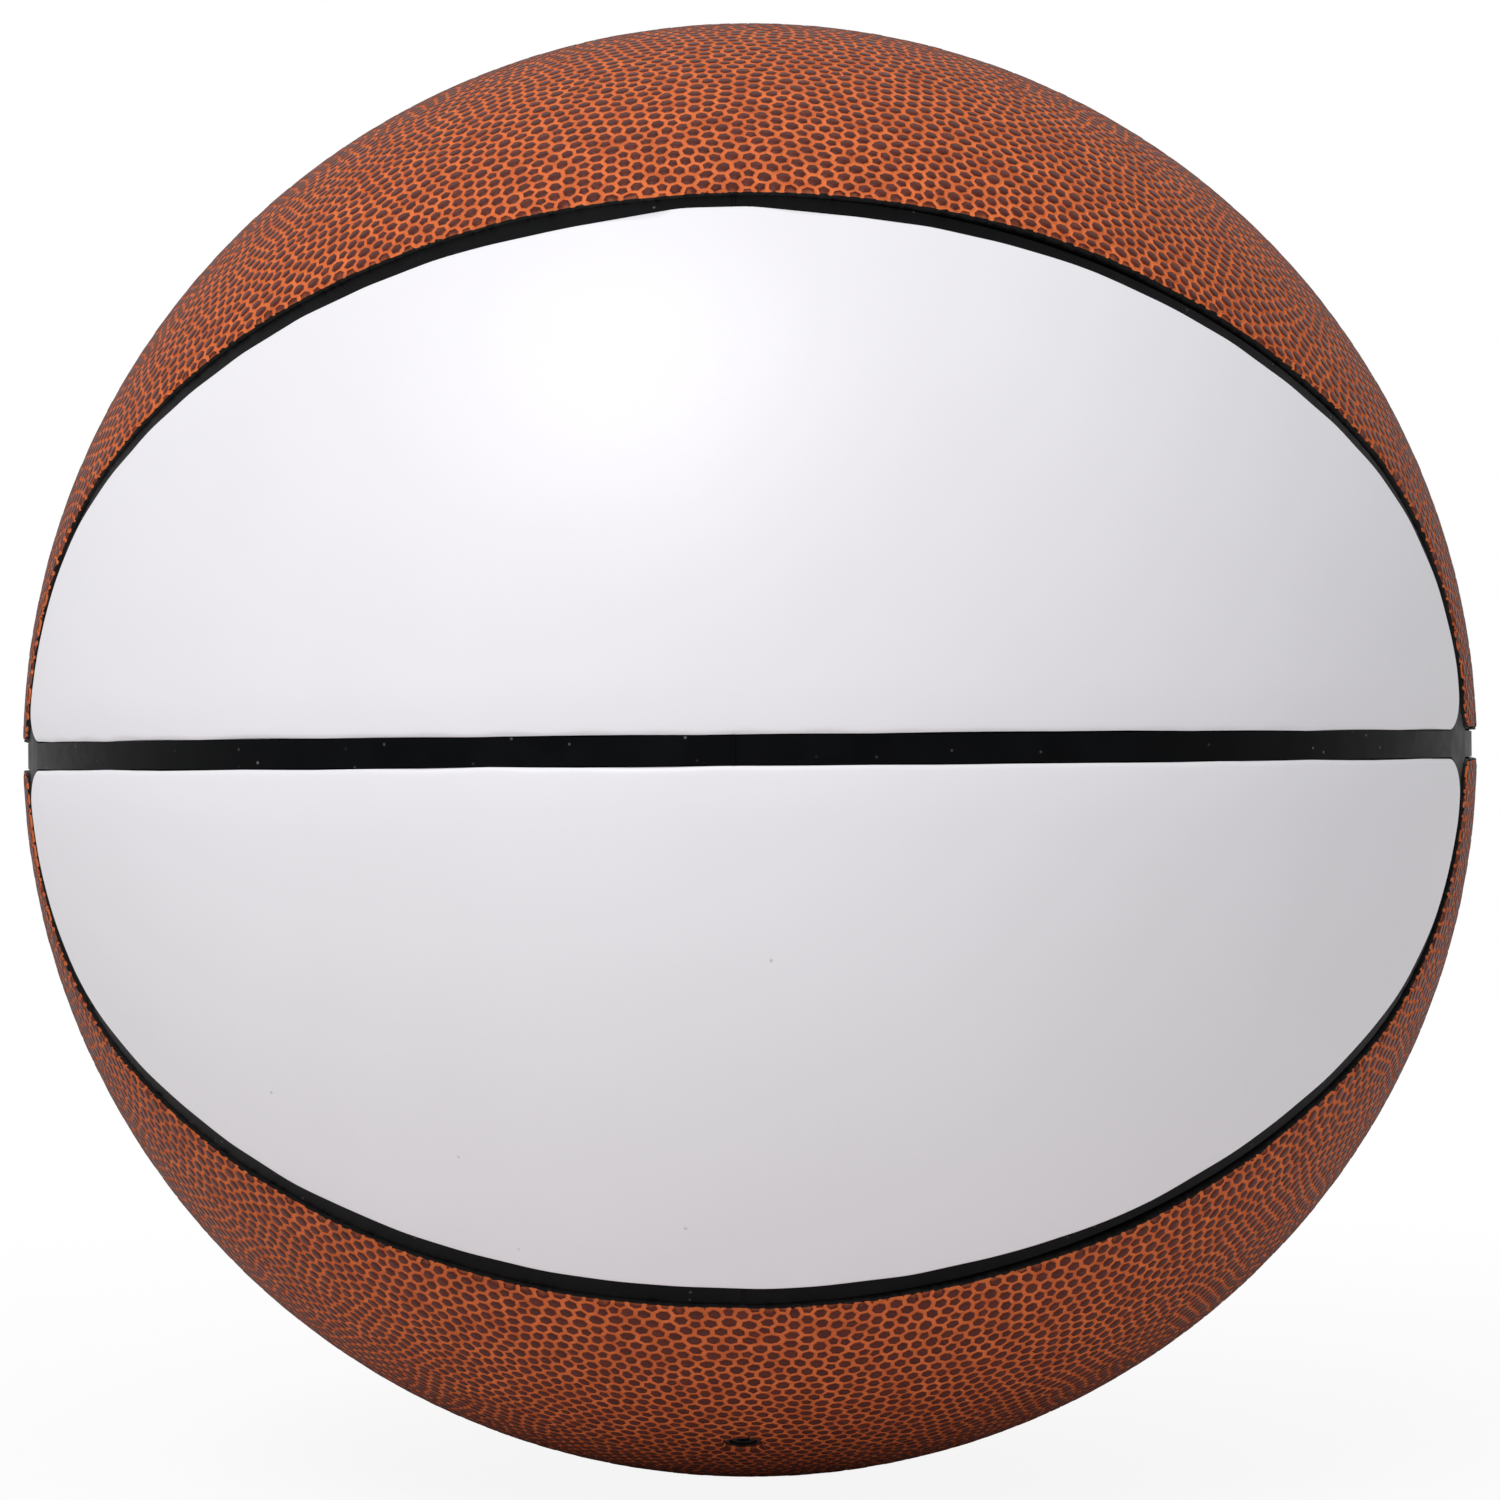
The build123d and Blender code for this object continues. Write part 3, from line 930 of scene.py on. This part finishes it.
def makeSmoothPanel(node, seed):
    basis, loops = outlineOf(node, smooth["waviness"], seed, -1)
    edge = cutEdge(loops[0], node)
    inward = sideways(edge)
    rings = [unit(edge + inward * (gap / ballRadius)) for gap in smooth["rings"]]
    outline = toPlane(basis, edge)
    low, high = outline.min(axis=0), outline.max(axis=0)
    step = smooth["spacing"] / ballRadius
    rows = np.arange(low[1], high[1], step * smooth["rowShare"])
    columns = np.arange(low[0], high[0], step)
    grid = np.array([(x + (row % 2) * step / 2, y) for row, y in enumerate(rows) for x in columns])
    field = fromPlane(basis, grid[insideLoop(grid, outline)])
    field = field[nearestGap(field, edge) > smooth["rings"][-1] + smooth["fieldGap"] * smooth["spacing"]]
    flat = toPlane(basis, np.vstack([edge, *rings, field]))
    face = list(range(len(edge)))
    result = delaunay_2d_cdt([Vector(p) for p in flat], [], [face], 1, ball["sameWithin"], True)
    places = fromPlane(basis, np.array([tuple(p) for p in result[0]]))
    gap = nearestGap(places, edge)
    onEdge = np.array([any(k < len(edge) for k in origin) for origin in result[3]])
    gap[onEdge] = 0.0
    roll = np.clip(1 - gap / smooth["rollWidth"], 0, 1)**2 * smooth["rollDrop"]
    fromSeam = np.arcsin(np.abs(places[:, 2])) * ballRadius
    fromStraight = (fromSeam - fromSeam.min()) / smooth["shoulderWidth"]
    shoulder = np.clip(1 - fromStraight, 0, 1)**2 * smooth["shoulderDrop"]
    top = places * (ballRadius - roll - shoulder)[:, None]
    count = len(top)
    faces = [list(face) for face in result[2]]
    back = [[corner + count for corner in reversed(face)] for face in faces]
    wall = [[b, a, a + count, b + count] for a, b in openEdges(faces)]
    mesh = meshFrom(node, np.vstack((top, places * innerRadius)), faces + wall + back)
    part = mesh.attributes.new("part", "INT", "FACE")
    part.data.foreach_set("value", [0] * len(faces) + [1] * len(wall) + [2] * len(back))
    mesh.polygons.foreach_set("use_smooth", [True] * len(mesh.polygons))
    mesh.materials.append(smoothCover)
    addPanelMap(mesh, basis)
    return mesh


for node, seed in smoothPanels.items():
    panel = newObject("smooth_" + node, makeSmoothPanel(node, seed))
    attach(panel, ball["body"])
    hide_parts(node)
    print("smooth panel", node, triangleCount(panel.data), "triangles")


# Lines that the mould's parting plane leaves across the channels
parting = {
    "width": 0.00060,
    "rise": 0.00020,  # above the rib
    "length": 0.0040,
    "turn": math.radians(1.1),  # of the mould's plane
    "sides": 10,
}


def seamCrossings(across):
    # middle of each channel that the plane crosses, and the plane's way along the ball there
    ahead = np.array((-across[1], across[0], 0.0))
    up = np.array((0.0, 0.0, 1.0))
    angles = []
    for node in (*pebbled, *smoothPanels):
        loop = smoothLoop(panelLoops(node)[0], ball["outlineStep"])
        side = loop @ across
        crossed = loop[side * np.roll(side, -1) < 0]
        angles.extend(math.atan2(point @ up, point @ ahead) for point in crossed)
    angles.sort()
    middles = [(a + b) / 2 for a, b in zip(angles, angles[1:] + [angles[0] + 2 * math.pi])
               if (b - a) * ballRadius < 2 * parting["length"]]
    return [(math.cos(t) * ahead + math.sin(t) * up, math.cos(t) * up - math.sin(t) * ahead) for t in middles]


def makePartingTree():
    tree, given = newTree("partingLines", (
        ("Width", "Float"), ("Length", "Float"), ("Sides", "Int"), ("Material", "Material")))
    radius = mathNode(tree, "MULTIPLY", given["Width"], 0.5)
    inputs = {"Vertices": given["Sides"], "Radius": radius, "Depth": given["Length"]}
    bar = addNode(tree, "GeometryNodeMeshCylinder", inputs).outputs["Mesh"]
    along = namedField(tree, "along", "FLOAT_VECTOR")
    turn = addNode(tree, "FunctionNodeAlignRotationToVector", {"Vector": along}, axis="Z").outputs[0]
    inputs = {"Points": given["Geometry"], "Instance": bar, "Rotation": turn}
    endTree(tree, addNode(tree, "GeometryNodeInstanceOnPoints", inputs).outputs[0], given["Material"])
    return tree


def makePartingLines():
    ribRadius = float(np.linalg.norm(nodePoints("carcass"), axis=1).max())
    crossings = seamCrossings(np.array((math.cos(parting["turn"]), math.sin(parting["turn"]), 0.0)))
    middle = ribRadius + parting["rise"] - parting["width"] / 2
    mesh = meshFrom("crossings", [place * middle for place, _ in crossings], [])
    along = mesh.attributes.new("along", "FLOAT_VECTOR", "POINT")
    along.data.foreach_set("vector", np.ravel([way for _, way in crossings]))
    holder = newObject("crossings", mesh)
    lines = runTree(holder, makePartingTree(), {
        "Width": parting["width"], "Length": parting["length"], "Sides": parting["sides"],
        "Material": channelRubber})
    dropObject(holder)
    print("parting lines:", len(crossings))
    return newObject("parting_lines", lines)


partingLines = makePartingLines()
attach(partingLines, ball["body"])


# Finishes of the nodes that stay as they are
dressed = {
    "carcass": channelRubber,
    "valve_body": valveRubber,
    "valve_plug": plugRubber,
    "thread_winding": windingThread,
    "bladder": bladderRubber,
}
for node, material in dressed.items():
    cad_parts[node].material_slots[0].material = material
print("nodes dressed:", len(dressed))


# Floor, light and camera
studio = {
    "floorSize": 6.0,
    "floorColour": (0.87, 0.846, 0.836),
    "floorRoughness": 0.9,
    "floorWhite": 0.90,  # near the ball, where the shadow lies
    "fadeFrom": 0.12,
    "fadeTo": 0.45,
    "keyPlace": (-0.31, -0.82, 1.15),
    "keySize": 1.0,
    "keyPower": 14.8,
    "worldColour": (0.95, 0.97, 1.0),
    "worldStrength": 0.485,
    "whiteFrom": -0.25,  # reflections see a dim room in front and the white backdrop behind
    "whiteTo": 0.6,
    "roomGlow": 0.08,
}


def mirrorRays(tree, path):
    return mathNode(tree, "MAXIMUM", path["Is Glossy Ray"], path["Is Transmission Ray"])


def whiteBehind(tree, lit, share, mirrorShare, output):
    # the camera and reflections see white here, and what is lit still takes the shadow
    white = addNode(tree, "ShaderNodeEmission", {"Color": (1.0, 1.0, 1.0, 1.0), "Strength": 1.0})
    path = addNode(tree, "ShaderNodeLightPath").outputs
    direct = mathNode(tree, "MULTIPLY", path["Is Camera Ray"], share)
    mirrored = mathNode(tree, "MULTIPLY", mirrorRays(tree, path), mirrorShare)
    seen = mathNode(tree, "MAXIMUM", direct, mirrored)
    mix = addNode(tree, "ShaderNodeMixShader", {0: seen, 1: lit, 2: white.outputs[0]})
    tree.links.new(mix.outputs[0], output)


def makeWorld():
    world = bpy.data.worlds.new("studio")
    bpy.context.scene.world = world
    world.use_nodes = True
    world.cycles.sampling_method = "NONE"  # even light, so rays find it by themselves
    tree = world.node_tree
    path = addNode(tree, "ShaderNodeLightPath").outputs
    way = addNode(tree, "ShaderNodeTexCoord").outputs["Generated"]
    depth = addNode(tree, "ShaderNodeSeparateXYZ", {0: way}).outputs["Y"]
    behind = ramp(tree, depth, studio["whiteFrom"], studio["whiteTo"], studio["roomGlow"], 1.0)
    soft = tree.nodes["Background"]
    soft.inputs["Color"].default_value = (*studio["worldColour"], 1.0)
    soft.inputs["Strength"].default_value = studio["worldStrength"]
    room = addNode(tree, "ShaderNodeBackground", {"Color": (1.0, 1.0, 1.0, 1.0), "Strength": behind})
    white = addNode(tree, "ShaderNodeBackground", {"Color": (1.0, 1.0, 1.0, 1.0), "Strength": 1.0})
    inputs = {0: mirrorRays(tree, path), 1: soft.outputs[0], 2: room.outputs[0]}
    shown = addNode(tree, "ShaderNodeMixShader", inputs)
    inputs = {0: path["Is Camera Ray"], 1: shown.outputs[0], 2: white.outputs[0]}
    mix = addNode(tree, "ShaderNodeMixShader", inputs)
    tree.links.new(mix.outputs[0], tree.nodes["World Output"].inputs["Surface"])


def makeFloor():
    half = studio["floorSize"] / 2
    corners = ((-half, -half), (half, -half), (half, half), (-half, half))
    mesh = meshFrom("floor", [(x, y, -ballRadius) for x, y in corners], [range(4)])
    floor = newObject("floor", mesh)
    material, tree, shader = newMaterial("studioFloor", Base_Color=(*studio["floorColour"], 1.0),
                                         Roughness=studio["floorRoughness"])
    away = addNode(tree, "ShaderNodeVectorMath", {0: objectCoords(tree)}, operation="LENGTH").outputs["Value"]
    share = ramp(tree, away, studio["fadeFrom"], studio["fadeTo"], studio["floorWhite"], 1.0)
    mirrorShare = ramp(tree, away, studio["fadeFrom"], studio["fadeTo"])
    whiteBehind(tree, shader.outputs[0], share, mirrorShare, tree.nodes["Material Output"].inputs["Surface"])
    mesh.materials.append(material)


def makeKeyLight():
    lamp = bpy.data.lights.new("key", "AREA")
    lamp.shape = "DISK"
    lamp.size = studio["keySize"]
    lamp.energy = studio["keyPower"]
    key = newObject("key", lamp)
    key.location = studio["keyPlace"]
    key.rotation_euler = (-Vector(studio["keyPlace"])).to_track_quat("-Z", "Y").to_euler()


photoView = {
    "distance": 0.72,
    "yaw": math.radians(2.2),
    "roll": math.radians(-0.50),
    "frameWidth": 1500,
    "focal": 4301,  # in pixels, like the frame's width
    "nearest": 0.01,
}


def makeCamera():
    data = bpy.data.cameras.new("photoView")
    data.sensor_fit = "HORIZONTAL"
    data.angle = 2 * math.atan(photoView["frameWidth"] / 2 / photoView["focal"])
    data.clip_start = photoView["nearest"]
    camera = newObject("photoView", data)
    place = Vector((math.sin(photoView["yaw"]), -math.cos(photoView["yaw"]), 0.0)) * photoView["distance"]
    turn = (-place).to_track_quat("-Z", "Y").to_matrix().to_4x4() @ Matrix.Rotation(photoView["roll"], 4, "Z")
    camera.matrix_world = Matrix.Translation(place) @ turn
    bpy.context.scene.camera = camera


makeFloor()
makeKeyLight()
makeWorld()
makeCamera()
bpy.context.scene.view_settings.view_transform = "Standard"
print("studio and camera set")
